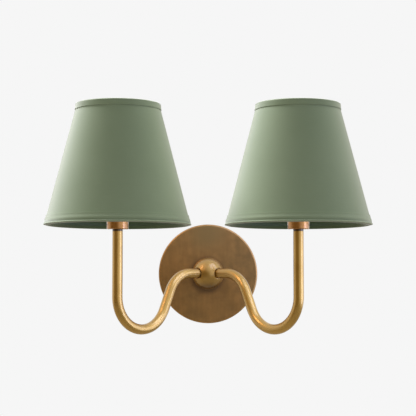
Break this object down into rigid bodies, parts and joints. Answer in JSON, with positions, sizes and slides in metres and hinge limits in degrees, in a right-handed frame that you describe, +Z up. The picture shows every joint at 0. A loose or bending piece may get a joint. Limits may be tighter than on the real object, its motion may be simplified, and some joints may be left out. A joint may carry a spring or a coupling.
{
  "type": "double arm wall sconce",
  "caption": "Wall light with a round backplate, a hub ball, swan-neck arms and clip-on cone shades.",
  "frame": {"origin": "on the wall, behind the centre of the backplate", "axes": "+Z up, -Y into the room, +X to the right as seen from the room"},
  "size_m": [0.3982, 0.2373, 0.2815],
  "materials": {
    "plate_brass": "aged, matte",
    "arm_brass": "aged, satin",
    "cup_brass": "aged, satin, warmer",
    "fitting_brass": "plain pressed brass",
    "steel": "zinc plated",
    "wire": "plated wire",
    "cap_metal": "plated",
    "cap_glass": "black glass bead",
    "opal_glass": "opal",
    "block_plastic": "moulded",
    "holder_plastic": "phenolic",
    "live_insulation": "brown insulation",
    "neutral_insulation": "blue insulation",
    "shade_cover": "sage green, smooth, card backed",
    "shade_trim": "sage green folded tape"
  },
  "bodies": {
    "fixture": {"backplate": "plate_brass", "wall_bracket": "steel", "plate_screws": "steel", "hub_nipple": "steel", "hub_washer": "steel", "hub_nut": "steel", "hub_ball": "arm_brass", "terminal_block": "block_plastic", "terminal_barrels": "fitting_brass", "terminal_screws": "steel", "earth_screw": "fitting_brass", "earth_washer": "fitting_brass", "arm_left": "arm_brass", "lead_live_left": "live_insulation", "lead_neutral_left": "neutral_insulation", "socket_cup_left": "cup_brass", "arm_nipple_left": "steel", "cup_nut_left": "steel", "lampholder_body_left": "holder_plastic", "lampholder_shell_left": "fitting_brass", "lampholder_contact_left": "fitting_brass", "arm_right": "arm_brass", "lead_live_right": "live_insulation", "lead_neutral_right": "neutral_insulation", "socket_cup_right": "cup_brass", "arm_nipple_right": "steel", "cup_nut_right": "steel", "lampholder_body_right": "holder_plastic", "lampholder_shell_right": "fitting_brass", "lampholder_contact_right": "fitting_brass"},
    "bulb_left": {"bulb_cap_left": "cap_metal", "bulb_insulator_left": "cap_glass", "bulb_contact_left": "cap_metal", "bulb_glass_left": "opal_glass"},
    "shade_left": {"shade_cover_left": "shade_cover", "shade_top_ring_left": "wire", "shade_bottom_ring_left": "wire", "shade_top_trim_left": "shade_trim", "shade_bottom_trim_left": "shade_trim", "shade_spider_left": "wire", "bulb_clip_left": "wire"},
    "bulb_right": {"bulb_cap_right": "cap_metal", "bulb_insulator_right": "cap_glass", "bulb_contact_right": "cap_metal", "bulb_glass_right": "opal_glass"},
    "shade_right": {"shade_cover_right": "shade_cover", "shade_top_ring_right": "wire", "shade_bottom_ring_right": "wire", "shade_top_trim_right": "shade_trim", "shade_bottom_trim_right": "shade_trim", "shade_spider_right": "wire", "bulb_clip_right": "wire"}
  },
  "joints": [
    {"name": "bulb_left_lift", "type": "slide", "parent": "fixture", "child": "bulb_left", "axis": [0, 0, 1], "range_m": [0, 0.04]},
    {"name": "shade_left_lift", "type": "slide", "parent": "bulb_left", "child": "shade_left", "axis": [0, 0, 1], "range_m": [0, 0.08]},
    {"name": "bulb_right_lift", "type": "slide", "parent": "fixture", "child": "bulb_right", "axis": [0, 0, 1], "range_m": [0, 0.04]},
    {"name": "shade_right_lift", "type": "slide", "parent": "bulb_right", "child": "shade_right", "axis": [0, 0, 1], "range_m": [0, 0.08]}
  ]
}
